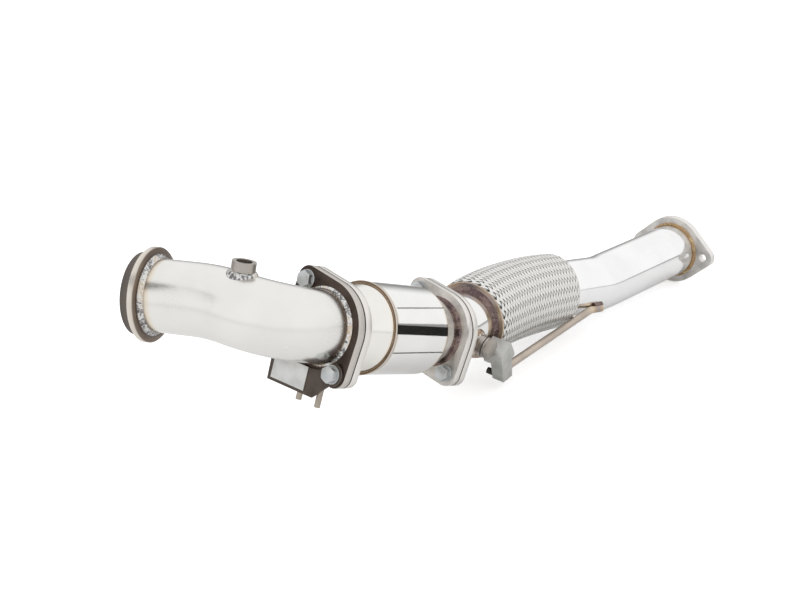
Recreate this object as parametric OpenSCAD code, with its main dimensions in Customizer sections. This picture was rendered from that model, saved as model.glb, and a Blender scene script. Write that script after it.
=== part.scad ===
/* [Main tube] */
// Outside diameter of the tube
tube_d = 76.2; // [72:0.1:80]
// Wall of the tube
tube_wall = 1.6; // [1.2:0.1:2.4]
// How far each tube end slips into its flange
tube_insert = 6; // [4:0.5:8]
// Radial gap between a tube and the hole it slips into
slip_gap = 0.2; // [0.1:0.05:0.4]
// Leg of the fillet welds between tube and flange
weld_leg = 3.3; // [2.5:0.1:4.4]

/* [Inlet flange] */
// Outside diameter of the clamping ring
ring_d = 99; // [96:0.5:104]
// Width of the ring's outer edge
ring_edge = 5.9; // [3:0.1:8]
// Length of the slope from the lip up to the ring
ring_slope = 2.1; // [1.2:0.1:4]
// Outside diameter of the lip in front of the ring
lip_d = 86; // [84:0.5:92]
// Length of the lip in front of the ring
lip_l = 10; // [8:0.5:16]
// Diameter of the hub behind the ring
hub_d = 88; // [87:0.5:91]
// Length of the hub behind the ring
hub_l = 1.2; // [1:0.1:5]
// Leg of the weld between the inlet flange and the dump pipe
inlet_weld_leg = 4.2; // [3:0.1:4.6]

/* [Dump pipe] */
// First straight, from the inlet flange to the first bend
dump_l1 = 43.5; // [30:0.5:60]
// First bend: turn about the pipe's own axis before it
dump_roll1 = -164; // [-180:1:-150]
// First bend: angle
dump_angle1 = 16.5; // [10:0.5:22]
// First bend: centreline radius
dump_r1 = 150; // [120:1:180]
// Straight between the two bends
dump_l2 = 4.5; // [2:0.5:15]
// Main bend: turn about the pipe's own axis before it
dump_roll2 = 144.5; // [130:0.5:160]
// Main bend: angle
dump_angle2 = 81.5; // [70:0.5:88]
// Main bend: centreline radius
dump_r2 = 64; // [60:1:72]
// Straight from the main bend to the face of the flange
dump_l3 = 7; // [6:0.5:12]

/* [Sensor bungs] */
// Outside diameter of a bung
bung_d = 25; // [22:0.5:28]
// Diameter of the threaded hole
bung_bore = 16.4; // [14:0.1:18]
// Height of the front bung above the tube
bung_h = 12; // [9:0.5:18]
// How far round the main bend the front bung sits
bung_bend = 2; // [0:0.5:12]
// Direction of the front bung round the tube
bung_clock = 98; // [88:0.5:115]
// Height of the rear bung above the tube
rear_bung_h = 9; // [7:0.5:14]
// Direction of the rear bung round the stub pipe
rear_bung_clock = 122; // [110:1:135]
// Place of the rear bung, ahead of the collar of the flex joint
rear_bung_back = 43; // [38:1:46]
// Width across the flats of the plug's head
plug_af = 22; // [19:0.5:24]
// Height of the plug's head
plug_h = 9; // [7:0.5:12]
// Height of the round rim under the plug's head
plug_rim_h = 2.4; // [1.6:0.1:3]
// Thickness of the washer under the plug
plug_washer_t = 1.2; // [0.8:0.1:2]

/* [Flanges] */
// Thickness of each bolted flange
flange_t = 10; // [8:0.5:12]
// Diameter of the round middle of a flange
flange_body_d = 100; // [96:0.5:104]
// Distance between the two bolts
bolt_span = 105; // [102:0.5:110]
// Radius of a flange's ear
ear_r = 14.5; // [13:0.5:17]
// Diameter of the bolt holes
bolt_hole_d = 11; // [10.5:0.1:12]
// Thickness of a gasket
gasket_t = 1.5; // [1:0.1:2.5]
// Direction of the bolts round the converter's axis
bolt_clock = 52.5; // [40:0.5:65]
// Direction of the bolt holes in the outlet flange
outlet_clock = 125; // [110:0.5:140]

/* [Bolts] */
// Diameter of the bolts
bolt_d = 10; // [9:0.5:10]
// Width across the flats of the bolt heads and nuts
bolt_af = 16; // [14:0.5:18]
// Height of a bolt head
head_h = 6.4; // [5:0.1:8]
// Height of a nut
nut_h = 8; // [6:0.5:10]
// Outside diameter of a washer
washer_d = 20; // [18:0.5:22]
// Thickness of a washer
washer_t = 2; // [1.5:0.1:2.5]
// Thread that stands out of a nut
bolt_end = 3; // [1:0.5:8]

/* [Catalytic converter] */
// Outside diameter of the converter's body
cat_d = 100.8; // [98:0.2:104]
// Wall of the converter's body and cones
cat_wall = 1.6; // [1.2:0.1:2.2]
// Length of the inlet cone
inlet_cone_l = 38; // [34:1:38]
// Length of the converter's body
cat_l = 93; // [80:1:110]
// Length of the outlet cone
outlet_cone_l = 36; // [30:1:40]
// Straight neck of each cone outside its flange
neck_l = 4.5; // [4.5:0.5:8]
// Overlap of a cone inside the body
cone_lap = 7; // [5:0.5:10]
// Section diameter of the rolled seam in front
seam_d = 3; // [2.4:0.2:6]
// Gap between the catalyst core and the end of each cone
core_gap = 4.5; // [2:0.5:12]
// Thickness of the mat round the core
mat_t = 4; // [3:0.5:6]
// Pitch of the channels in the core
cell_pitch = 5.6; // [5:0.2:8]
// Wall between two channels
cell_wall = 1.8; // [1.2:0.1:2.5]

/* [Stub pipe] */
// Straight from the flange to the bend
stub_l1 = 6; // [5:0.5:8]
// Turn about the pipe's own axis before the bend
stub_roll = 66; // [50:1:80]
// Angle of the bend
stub_angle = 20; // [14:0.5:26]
// Centreline radius of the bend
stub_r = 60; // [56:1:80]
// Straight from the bend to the flex joint
stub_l2 = 34; // [32:1:45]

/* [Flex joint] */
// Length along the centreline of the flex joint
flex_l = 182.4; // [150:0.2:200]
// Turn about the pipe's own axis before the flex joint's curve
flex_roll = 129.5; // [115:0.5:145]
// Angle through which the flex joint curves
flex_angle = 20; // [10:0.5:24]
// Outside diameter of the end collars
collar_d = 98; // [97:0.5:102]
// Width of the skirt of an end collar
collar_w = 12; // [8:0.5:16]
// Wall of an end collar
collar_wall = 1.6; // [1.2:0.1:2.2]
// Rounding of the collar's outer edge
collar_round = 1; // [0.5:0.1:1.1]
// Thickness of the braid
braid_t = 1.8; // [1.4:0.1:2.4]
// Swell of the braid at its middle
braid_swell = 1.8; // [1:0.1:3]
// Height of each crossing in the braid
braid_relief = 0.9; // [0.4:0.1:1.2]
// Crossings round the braid
braid_around = 60; // [40:4:72]
// Crossings along the braid
braid_along = 36; // [24:4:44]
// Diameter of the bellows at its roots
bellows_root_d = 83; // [82:0.5:85]
// Gap between the bellows and the skirt of each collar
bellows_gap = 0.5; // [0.3:0.1:1]
// Wall of the bellows
bellows_wall = 0.8; // [0.6:0.1:1]
// Number of folds in the bellows
bellows_folds = 15; // [10:1:16]
// Thickness of the inner liner
liner_t = 1.2; // [0.8:0.1:1.6]

/* [Tail pipe] */
// Straight from the flex joint to the bend
tail_l1 = 76; // [64:1:100]
// Turn about the pipe's own axis before the bend
tail_roll = -142; // [-160:1:-120]
// Angle of the bend
tail_angle = 10.5; // [5:0.5:15]
// Centreline radius of the bend
tail_r = 152; // [120:1:180]
// Straight from the bend to the face of the outlet flange
tail_l2 = 177; // [120:1:220]

/* [Hanger] */
// Diameter of the hanger rod
rod_d = 10; // [8:0.5:11]
// Straight of the rod that is welded along the tail pipe
rod_foot_l = 16; // [12:1:20]
// Width of the bead round the foot of the rod
rod_bead = 2.2; // [1.8:0.1:3]
// Where the rod leaves the tail pipe, behind the flex joint
rod_start = 46; // [44:1:52]
// Direction of the rod round the tail pipe
rod_clock = 11; // [0:1:20]
// Turn of the rod's bend
rod_roll = 166; // [150:1:180]
// Angle of the rod's bend
rod_angle = 16; // [14:0.5:20]
// Centreline radius of the rod's bend
rod_bend_r = 40; // [30:1:60]
// Straight from the bend to the block
rod_l = 190; // [150:1:200]
// How deep the rod sits in the block
rod_in_block = 12; // [8:1:14]
// Width of the hanger block
block_w = 25; // [22:0.5:30]
// Depth of the hanger block
block_depth = 25; // [22:0.5:28]
// Height of the block's leg at its back
block_h = 60; // [56:1:68]
// Height of the block's head
block_head_h = 20; // [16:0.5:24]
// Width of the block's leg
block_leg_w = 15.5; // [14:0.5:18]
// Diameter of the stud in the side of the block
block_stud_d = 8; // [6:0.5:9]
// How far the stud stands out of the block
block_stud_l = 9; // [6:0.5:14]
// Place of the stud, behind the block's front
block_stud_back = 5; // [4:0.5:9]
// Place of the stud, below the block's top
block_stud_down = 44; // [40:0.5:46]

/* [Support bracket] */
// Thickness of the bracket's sheet
bracket_t = 3; // [2:0.5:4]
// Length of the bracket from the bolt to its far end
bracket_l = 86; // [80:1:95]
// Height of the bracket's lower edge below the converter's axis
bracket_drop = 73; // [70:0.5:80]
// Height of the bracket's upper edge below the converter's axis
bracket_top = 41; // [38:0.5:42]
// Radius of the cut-out round the pipe
bracket_cut_r = 44.5; // [44:0.5:46]
// Radius of the bracket's ear round the lower bolt
bracket_ear_r = 12; // [11:0.5:13.5]
// Length of the bracket's lower edge
bracket_foot_l = 66; // [55:1:70]
// Height of the slope between the lower edge and the ear
bracket_slope = 10; // [6:0.5:14]
// Length of the blank plate
plate_l = 48; // [40:1:50]
// Height of the blank plate
plate_h = 25.5; // [20:0.5:26]
// Thickness of the blank plate
plate_t = 0.8; // [0.5:0.1:1.2]
// Margin between the blank plate and the bracket's lower edge
plate_margin = 3.5; // [1:0.5:6]
// Diameter of the two studs behind the bracket
stud_d = 6.4; // [5:0.2:8]
// How far the studs reach below the converter's axis
stud_drop = 81.5; // [78:0.5:90]
// Gap between the top of the studs and the round middle of the flange
stud_gap = 8; // [6:0.5:10]
// Place of the first stud across the bracket
stud_across = 9; // [6:0.5:12]
// Distance between the two studs
stud_span = 26.5; // [25:0.5:29]

/* [Hidden] */
$fn = 72;

tube_r = tube_d / 2;
bore_r = tube_r - tube_wall;
socket_r = tube_r + slip_gap;
cat_r = cat_d / 2;
cut = 1;

// Inlet flange
inlet_l = lip_l + ring_slope + ring_edge + hub_l;

// Each bend meets its straight under a butt weld that is ground down almost flush
butt_w = 1.2;
butt_h = 0.1;
// The outside of a straight is a hair wider where it cuts a bung, so it clears the butt weld
ease = 0.14;

// Stack of each bolted joint: flange, gasket, flange
joint_l = 2 * flange_t + gasket_t;
neck_start = joint_l - tube_insert;
cone_start = joint_l + neck_l;
body_start = cone_start + inlet_cone_l;
body_end = body_start + cat_l;
cone_end = body_end + outlet_cone_l;
rear_face = cone_end + neck_l;
cone_inner_r = cat_r - cat_wall - slip_gap;
core_r = cat_r - cat_wall - mat_t;
core_start = body_start + cone_lap + core_gap;
core_l = body_end - body_start - 2 * (cone_lap + core_gap);

// Flex joint
flex_r = flex_l / (flex_angle * PI / 180);
collar_r = collar_d / 2;
skirt_r = collar_r - collar_wall;
bellows_root_r = bellows_root_d / 2;
fold_r = skirt_r - collar_wall - bellows_gap - bellows_root_r;
braid_inner_r = skirt_r + slip_gap;
liner_r = bellows_root_r - bellows_wall - slip_gap;

// Hardware
bolt_r = bolt_d / 2;
hole_r = bolt_hole_d / 2;
bolt_seat = washer_t + head_h;
gasket_r = socket_r + 1;
saddle_sink = tube_r - sqrt(tube_r * tube_r - bung_d * bung_d / 4);

// Bead round the foot of a bung: width on the tube, height on the bung, depth below the saddle
bead_w = 5.2;
bead_h = 2.6;
bead_sink = 2.2;

// Back of the hanger block: it swells down to this depth
block_back_drop = 30;
block_bulge = 6;

// Flat shapes

module disc(r) {
    circle(r);
}

module ring(r_out, r_in) {
    difference() {
        disc(r_out);
        disc(r_in);
    }
}

// Corner points of the straight flank from the round middle to an ear
function flank_angle() = acos((flange_body_d / 2 - ear_r) / (bolt_span / 2));
function on_circle(centre, r, a) = [centre + r * cos(a), r * sin(a)];

module flange_outline() {
    a = flank_angle();
    body_r = flange_body_d / 2;
    reach = bolt_span / 2;
    disc(body_r);
    for (side = [-1, 1])
        translate([side * reach, 0]) disc(ear_r);
    polygon([
        on_circle(reach, ear_r, a), on_circle(0, body_r, a),
        on_circle(0, body_r, 180 - a), on_circle(-reach, ear_r, 180 - a),
        on_circle(-reach, ear_r, 180 + a), on_circle(0, body_r, 180 + a),
        on_circle(0, body_r, -a), on_circle(reach, ear_r, -a)
    ]);
}

// Solids along +X

module along_x() {
    rotate([90, 0, 90]) children();
}

module round_x(start, l, r) {
    translate([start, 0, 0]) along_x() cylinder(r = r, h = l);
}

module pipe_x(start, l, r_out, r_in) {
    translate([start, 0, 0]) along_x() linear_extrude(l) ring(r_out, r_in);
}

// Section of the main tube
module tube_section(grow = 0) {
    ring(tube_r + grow, bore_r - grow);
}

module tube_x(l) {
    along_x() linear_extrude(l) tube_section();
}

module tube_bend(r, angle) {
    bend_solid(r, angle) tube_section();
}

module butt_weld() {
    translate([-butt_w / 2, 0, 0]) along_x() linear_extrude(butt_w) tube_section(butt_h);
}

// Turns a profile of points [x, r] round the X axis
module turned(points) {
    along_x() rotate_extrude() polygon([for (p = points) [p[1], p[0]]]);
}

// Bent bar or tube that starts at the origin towards +X and curves towards +Y
module bend_solid(r, angle) {
    translate([0, r, 0]) rotate([0, 0, -90])
        rotate_extrude(angle = angle, $fn = 180) translate([r, 0]) children();
}

// Moves what follows to the end of such a bend
module after_bend(r, angle) {
    translate([r * sin(angle), r * (1 - cos(angle)), 0]) rotate([0, 0, angle]) children();
}

// Two-bolt flange that faces +X, with a hole for the tube
module flange_x(start, l, hole) {
    translate([start, 0, 0]) along_x() linear_extrude(l) difference() {
        flange_outline();
        disc(hole);
        for (side = [-1, 1])
            translate([side * bolt_span / 2, 0]) disc(hole_r);
    }
}

// Fillet weld on the outside of a tube, in the corner with a wall on one side of it
module fillet_x(face, r, leg, side) {
    reach = side * leg;
    near = 0.3;
    far = 0.86;
    turned([
        [face, r], [face, r + leg], [face + reach * near, r + leg * far],
        [face + reach * far, r + leg * near], [face + reach, r]
    ]);
}

// Stations along the run of pipe

module at_dump_bend() {
    translate([inlet_l + dump_l1, 0, 0]) rotate([dump_roll1, 0, 0])
        after_bend(dump_r1, dump_angle1) translate([dump_l2, 0, 0]) rotate([dump_roll2, 0, 0])
            children();
}

// Front face of the first bolted flange
module at_front_joint() {
    at_dump_bend() after_bend(dump_r2, dump_angle2) translate([dump_l3, 0, 0]) children();
}

// Front face of the converter's outlet flange
module at_rear_joint() {
    at_front_joint() translate([rear_face, 0, 0]) children();
}

module at_stub_bend() {
    at_rear_joint() translate([joint_l + stub_l1, 0, 0]) rotate([stub_roll, 0, 0]) children();
}

// End of the stub pipe, at the front face of the flex joint
module at_flex() {
    at_stub_bend() after_bend(stub_r, stub_angle) translate([stub_l2, 0, 0])
        rotate([flex_roll, 0, 0]) children();
}

module at_flex_end() {
    at_flex() after_bend(flex_r, flex_angle) children();
}

module at_tail_bend() {
    at_flex_end() translate([tail_l1, 0, 0]) rotate([tail_roll, 0, 0]) children();
}

// Front face of the outlet flange
module at_outlet() {
    at_tail_bend() after_bend(tail_r, tail_angle) translate([tail_l2, 0, 0]) children();
}

module at_front_bung() {
    at_dump_bend() after_bend(dump_r2, bung_bend) rotate([bung_clock, 0, 0]) rotate([-90, 0, 0])
        children();
}

module at_rear_bung() {
    at_flex() rotate([-flex_roll, 0, 0]) translate([-rear_bung_back, 0, 0])
        rotate([rear_bung_clock, 0, 0]) rotate([-90, 0, 0]) children();
}

// Foot of the hanger rod, heading back towards the inlet
module at_rod() {
    at_flex_end() translate([rod_start + rod_foot_l, 0, 0]) rotate([rod_clock, 0, 0])
        translate([0, tube_r + rod_d / 2, 0]) rotate([0, 0, 180]) children();
}

module at_rod_end() {
    at_rod() translate([rod_foot_l, 0, 0]) rotate([rod_roll, 0, 0])
        after_bend(rod_bend_r, rod_angle) translate([rod_l, 0, 0]) children();
}

// One of the two bolts of a joint, from the centre of its flanges
module at_bolt(side) {
    rotate([bolt_clock, 0, 0]) translate([0, side * bolt_span / 2, 0]) children();
}

// Inlet

module inlet_flange() {
    ring_r = ring_d / 2;
    lip_r = lip_d / 2;
    hub_r = hub_d / 2;
    rim = lip_l + ring_slope;
    back = rim + ring_edge;
    chamfer = 0.8;
    color([0.72, 0.67, 0.6]) turned([
        [0, bore_r], [0, lip_r - chamfer], [chamfer, lip_r], [lip_l, lip_r],
        [rim - chamfer, ring_r - chamfer], [rim, ring_r], [back - chamfer, ring_r],
        [back, ring_r - chamfer], [back + chamfer, hub_r], [inlet_l, hub_r], [inlet_l, bore_r]
    ]);
}

module inlet_weld() {
    color([0.55, 0.55, 0.7]) fillet_x(inlet_l, tube_r, inlet_weld_leg, 1);
}

// Dump pipe

module dump_run() {
    translate([inlet_l, 0, 0]) tube_x(dump_l1);
    translate([inlet_l + dump_l1, 0, 0]) rotate([dump_roll1, 0, 0]) {
        butt_weld();
        tube_bend(dump_r1, dump_angle1);
        after_bend(dump_r1, dump_angle1) {
            butt_weld();
            tube_x(dump_l2);
        }
    }
    at_dump_bend() {
        butt_weld();
        tube_bend(dump_r2, dump_angle2);
        after_bend(dump_r2, dump_angle2) {
            butt_weld();
            tube_x(dump_l3 + tube_insert);
        }
    }
}

// Outside of the dump pipe near the bung, which shapes the foot of the bung and its bead.
// The straight is a hair wider and runs a little way into both bends, so no sliver is left between.
module dump_outside() {
    lap_1 = sqrt(2 * dump_r1 * ease);
    lap_2 = sqrt(2 * dump_r2 * ease);
    translate([inlet_l + dump_l1, 0, 0]) rotate([dump_roll1, 0, 0]) {
        bend_solid(dump_r1, dump_angle1) disc(tube_r);
        after_bend(dump_r1, dump_angle1) round_x(-lap_1, lap_1 + dump_l2 + lap_2, tube_r + ease);
    }
    at_dump_bend() bend_solid(dump_r2, dump_angle2) disc(tube_r);
}

module dump_pipe() {
    color([0.86, 0.86, 0.85]) difference() {
        dump_run();
        at_front_bung() cylinder(r = bung_bore / 2, h = tube_r + cut);
    }
}

// Body of a bung, standing on +Z, with its foot cut to the tube
module bung_body(h) {
    translate([0, 0, tube_r - saddle_sink]) linear_extrude(h + saddle_sink)
        ring(bung_d / 2, bung_bore / 2);
}

module bung_bead() {
    low = tube_r - saddle_sink - bead_sink;
    outer = bung_d / 2;
    rotate_extrude() polygon([
        [outer, low], [outer + bead_w, low], [outer + bead_w * 0.6, tube_r],
        [outer + bead_w * 0.3, tube_r + bead_h * 0.8], [outer, tube_r + bead_h]
    ]);
}

module front_bung() {
    color([0.55, 0.53, 0.5]) difference() {
        at_front_bung() bung_body(bung_h);
        dump_outside();
    }
}

module front_bung_weld() {
    color([0.6, 0.6, 0.72]) difference() {
        at_front_bung() bung_bead();
        dump_outside();
    }
}

// Front joint

module dump_flange() {
    color([0.3, 0.26, 0.24]) at_front_joint() rotate([bolt_clock, 0, 0])
        flange_x(0, flange_t, socket_r);
}

module dump_flange_weld() {
    color([0.62, 0.62, 0.7]) at_front_joint() fillet_x(0, tube_r, weld_leg, -1);
}

module front_gasket() {
    color([0.16, 0.15, 0.15]) at_front_joint() rotate([bolt_clock, 0, 0])
        flange_x(flange_t, gasket_t, gasket_r);
}

module cat_inlet_flange() {
    color([0.7, 0.68, 0.66]) at_front_joint() rotate([bolt_clock, 0, 0])
        flange_x(flange_t + gasket_t, flange_t, socket_r);
}

// Catalytic converter

module cat_inlet_weld() {
    color([0.72, 0.6, 0.42]) at_front_joint() fillet_x(joint_l, tube_r, weld_leg, 1);
}

// Cone profile from the neck to the lap inside the body, mirrored for the outlet
module cone_shell(neck, narrow, wide, lap_end) {
    turned([
        [neck, bore_r], [neck, tube_r], [narrow, tube_r], [wide, cone_inner_r],
        [lap_end, cone_inner_r], [lap_end, cone_inner_r - cat_wall],
        [wide, cone_inner_r - cat_wall], [narrow, bore_r]
    ]);
}

module cat_inlet_cone() {
    color([0.8, 0.8, 0.8]) at_front_joint()
        cone_shell(neck_start, cone_start, body_start, body_start + cone_lap);
}

module cat_outlet_cone() {
    color([0.8, 0.8, 0.8]) at_front_joint()
        cone_shell(rear_face + tube_insert, cone_end, body_end, body_end - cone_lap);
}

module cat_shell() {
    color([0.84, 0.84, 0.83]) at_front_joint()
        pipe_x(body_start, cat_l, cat_r, cat_r - cat_wall);
}

// Rolled seam in the corner between the body's end and the cone
module cat_front_seam() {
    seam_r = seam_d / 2;
    sunk = 0.6 * seam_r;
    color([0.75, 0.62, 0.42]) at_front_joint() difference() {
        along_x() translate([0, 0, body_start - seam_r]) rotate_extrude()
            translate([cat_r - sunk, 0]) disc(seam_r);
        turned([
            [cone_start, 0], [cone_start, tube_r], [body_start, cone_inner_r], [body_start, 0]
        ]);
    }
}

module cat_rear_seam() {
    inner = cone_inner_r;
    leg = 2.6;
    crown = 0.4;
    color([0.7, 0.66, 0.58]) at_front_joint() difference() {
        turned([
            [body_end, inner - leg], [body_end, cat_r], [body_end + 2 * crown, cat_r - crown],
            [body_end + leg, inner - crown], [body_end + leg, inner - leg]
        ]);
        turned([[body_end, 0], [body_end, inner], [cone_end, tube_r], [cone_end, 0]]);
    }
}

module catalyst_mat() {
    color([0.85, 0.83, 0.78]) at_front_joint()
        pipe_x(core_start, core_l, core_r + mat_t, core_r);
}

module catalyst_core() {
    rows = ceil(core_r / cell_pitch);
    hole = cell_pitch - cell_wall;
    color([0.62, 0.56, 0.48]) at_front_joint() translate([core_start, 0, 0]) along_x()
        linear_extrude(core_l) difference() {
            disc(core_r);
            for (i = [-rows:rows], j = [-rows:rows])
                if (norm([abs(i) + 0.5, abs(j) + 0.5]) * cell_pitch < core_r)
                    translate([i * cell_pitch, j * cell_pitch]) square(hole, center = true);
        }
}

module cat_outlet_weld() {
    color([0.62, 0.46, 0.28]) at_rear_joint() fillet_x(0, tube_r, weld_leg, -1);
}

// Rear joint

module cat_outlet_flange() {
    color([0.7, 0.68, 0.66]) at_rear_joint() rotate([bolt_clock, 0, 0])
        flange_x(0, flange_t, socket_r);
}

module rear_gasket() {
    color([0.16, 0.15, 0.15]) at_rear_joint() rotate([bolt_clock, 0, 0])
        flange_x(flange_t, gasket_t, gasket_r);
}

module stub_flange() {
    color([0.74, 0.73, 0.72]) at_rear_joint() rotate([bolt_clock, 0, 0])
        flange_x(flange_t + gasket_t, flange_t, socket_r);
}

module stub_weld() {
    color([0.72, 0.6, 0.45]) at_rear_joint() fillet_x(joint_l, tube_r, weld_leg, 1);
}

// Stub pipe with its plugged bung

module stub_run() {
    at_rear_joint() translate([neck_start, 0, 0]) tube_x(tube_insert + stub_l1);
    at_stub_bend() {
        butt_weld();
        tube_bend(stub_r, stub_angle);
        after_bend(stub_r, stub_angle) {
            butt_weld();
            tube_x(stub_l2 + collar_w / 2);
        }
    }
}

// Outside of the stub pipe near the bung, which shapes the foot of the bung and its bead.
// The straights are a hair wider and run a little way into the bend, so no sliver is left between.
module stub_outside() {
    lap = sqrt(2 * stub_r * ease);
    at_stub_bend() {
        translate([-stub_l1, 0, 0]) round_x(0, stub_l1 + lap, tube_r + ease);
        bend_solid(stub_r, stub_angle) disc(tube_r);
        after_bend(stub_r, stub_angle) round_x(-lap, stub_l2 + lap, tube_r + ease);
    }
}

module stub_pipe() {
    color([0.84, 0.84, 0.84]) difference() {
        stub_run();
        at_rear_bung() cylinder(r = bung_bore / 2, h = tube_r + cut);
    }
}

module rear_bung() {
    color([0.62, 0.6, 0.58]) difference() {
        at_rear_bung() bung_body(rear_bung_h);
        stub_outside();
    }
}

module rear_bung_weld() {
    color([0.66, 0.58, 0.5]) difference() {
        at_rear_bung() bung_bead();
        stub_outside();
    }
}

module plug_washer() {
    color([0.15, 0.14, 0.13]) at_rear_bung() translate([0, 0, tube_r + rear_bung_h])
        linear_extrude(plug_washer_t) ring(bung_d / 2 - plug_washer_t, bung_bore / 2 + slip_gap);
}

module bung_plug() {
    seat = tube_r + rear_bung_h + plug_washer_t;
    color([0.6, 0.58, 0.56]) at_rear_bung() {
        translate([0, 0, seat]) cylinder(r = bung_d / 2, h = plug_rim_h);
        translate([0, 0, seat]) cylinder(d = plug_af / cos(30), h = plug_h, $fn = 6);
        translate([0, 0, seat - rear_bung_h]) cylinder(r = bung_bore / 2 - slip_gap, h = rear_bung_h);
    }
}

// Flex joint

module flex_front_weld() {
    color([0.5, 0.42, 0.46]) at_flex() fillet_x(-collar_wall, tube_r, weld_leg, -1);
}

// End cap with a skirt under the braid, with its front wall on the outside of x = 0
module collar(side) {
    start = -side * collar_wall;
    end = side * collar_w;
    chord = (1 - sqrt(1 / 2)) * collar_round;
    turned([
        [start, socket_r], [start, collar_r - collar_round],
        [start + side * chord, collar_r - chord],
        [start + side * collar_round, collar_r],
        [0, collar_r], [0, skirt_r], [end, skirt_r], [end, skirt_r - collar_wall],
        [0, skirt_r - collar_wall], [0, socket_r]
    ]);
}

module flex_front_collar() {
    color([0.72, 0.66, 0.6]) at_flex() collar(1);
}

module flex_rear_collar() {
    color([0.72, 0.7, 0.68]) at_flex_end() collar(-1);
}

module flex_rear_weld() {
    color([0.72, 0.66, 0.58]) at_flex_end() fillet_x(collar_wall, tube_r, weld_leg, 1);
}

// Curved tube with round folds, hollow inside, with its necks against the collars
module flex_bellows() {
    lead = 0.5 * flex_angle / (bellows_folds + 1);
    step = (flex_angle - 2 * lead) / bellows_folds;
    lift = 0.6;
    color([0.74, 0.73, 0.7]) at_flex() difference() {
        union() {
            bend_solid(flex_r, flex_angle) disc(bellows_root_r);
            for (i = [0 : bellows_folds - 1])
                after_bend(flex_r, lead + (i + 0.5) * step) along_x()
                    rotate_extrude() translate([bellows_root_r + lift, 0]) disc(fold_r - lift);
        }
        bend_solid(flex_r, flex_angle) disc(bellows_root_r - bellows_wall);
        for (i = [0 : bellows_folds - 1])
            after_bend(flex_r, lead + (i + 0.5) * step) along_x()
                rotate_extrude() translate([bellows_root_r + lift, 0])
                    disc(fold_r - lift - bellows_wall);
    }
}

module flex_liner() {
    lap = asin((collar_w / 2) / flex_r);
    color([0.6, 0.59, 0.57]) at_flex() after_bend(flex_r, lap)
        bend_solid(flex_r, flex_angle - 2 * lap) ring(liner_r, liner_r - liner_t);
}

// Radius of the braid's outside at a share of its length: it swells, and each crossing stands up
function swell(s) = braid_swell * (1 - pow(abs(2 * s - 1), 4));
function braid_r(i, j) = braid_inner_r + braid_t - braid_relief / 2 + swell(j / braid_along)
    + ((i + j) % 2 == 0 ? -braid_relief / 2 : braid_relief / 2);

// A point on a ring of radius r round the flex joint's curve
function on_flex(share, r, a) =
    let (b = flex_angle * share, reach = flex_r - r * cos(a))
    [reach * sin(b), flex_r - reach * cos(b), r * sin(a)];

module flex_braid() {
    n = braid_around;
    m = braid_along;
    inner_rows = 6;
    outside = [for (j = [0:m], i = [0:n - 1]) on_flex(j / m, braid_r(i, j), 360 * i / n)];
    inside = [for (j = [0:inner_rows], i = [0:n - 1])
        on_flex(j / inner_rows, braid_inner_r + swell(j / inner_rows), 360 * i / n)];
    base = len(outside);
    quads_out = [for (j = [0:m - 1], i = [0:n - 1])
        let (a = j * n + i, b = j * n + (i + 1) % n, c = b + n, d = a + n)
        (i + j) % 2 == 0 ? [[a, c, b], [a, d, c]] : [[a, d, b], [b, d, c]]];
    quads_in = [for (j = [0:inner_rows - 1], i = [0:n - 1])
        let (a = base + j * n + i, b = base + j * n + (i + 1) % n)
        [[a, b, b + n], [a, b + n, a + n]]];
    front = [for (i = [0:n - 1])
        let (k = (i + 1) % n) [[i, k, base + k], [i, base + k, base + i]]];
    back = [for (i = [0:n - 1])
        let (k = (i + 1) % n, o = m * n, p = base + inner_rows * n)
        [[o + i, p + i, p + k], [o + i, p + k, o + k]]];
    triangles = [for (quads = [quads_out, quads_in, front, back], q = quads, t = q) t];
    color([0.78, 0.78, 0.77]) at_flex() polyhedron(concat(outside, inside), triangles, convexity = 6);
}

// Tail pipe

module tail_pipe() {
    lap = collar_w / 2;
    color([0.88, 0.88, 0.88]) {
        at_flex_end() translate([-lap, 0, 0]) tube_x(tail_l1 + lap);
        at_tail_bend() {
            butt_weld();
            tube_bend(tail_r, tail_angle);
            after_bend(tail_r, tail_angle) {
                butt_weld();
                tube_x(tail_l2 + tube_insert);
            }
        }
    }
}

module outlet_weld() {
    color([0.7, 0.55, 0.32]) at_outlet() fillet_x(0, tube_r, weld_leg, -1);
}

module outlet_flange() {
    color([0.72, 0.7, 0.68]) at_outlet() rotate([outlet_clock, 0, 0])
        flange_x(0, flange_t, socket_r);
}

// Hanger

// Collar as thin as a hair that ties a straight of the rod to its bend
module rod_tie() {
    round_x(-butt_w / 2, butt_w, rod_d / 2 + butt_h);
}

module hanger_rod() {
    color([0.6, 0.56, 0.52]) at_rod() {
        round_x(0, rod_foot_l, rod_d / 2);
        translate([rod_foot_l, 0, 0]) rotate([rod_roll, 0, 0]) {
            rod_tie();
            bend_solid(rod_bend_r, rod_angle) disc(rod_d / 2);
            after_bend(rod_bend_r, rod_angle) {
                rod_tie();
                round_x(0, rod_l + rod_in_block, rod_d / 2);
            }
        }
    }
}

// Bead round the foot of the rod, in the corners between it and the pipe
module hanger_weld() {
    rod_r = rod_d / 2;
    wide = rod_r + rod_bead;
    corner = 1.6;
    side = 0.3 * rod_r;
    top = rod_r + 0.3;
    color([0.55, 0.47, 0.42]) difference() {
        at_rod() translate([-rod_bead, 0, 0]) along_x() linear_extrude(rod_foot_l)
            polygon([[side, top], [wide, wide], [wide, -wide], [side, -top]]);
        at_rod() round_x(0, rod_foot_l, rod_r, $fn = 180);
        at_rod() translate([0, 0, -corner]) cube([rod_foot_l, wide + cut, 2 * corner]);
        at_flex_end() round_x(0, tail_l1, tube_r, $fn = 360);
    }
}

// Turn of the block against the end of the rod
block_turn = [17.9, -33.2, 98.1];
// Where the rod enters the block, from its front upper corner: across, back, down
rod_entry = [-5.8, 23.5, 45.4];

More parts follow.
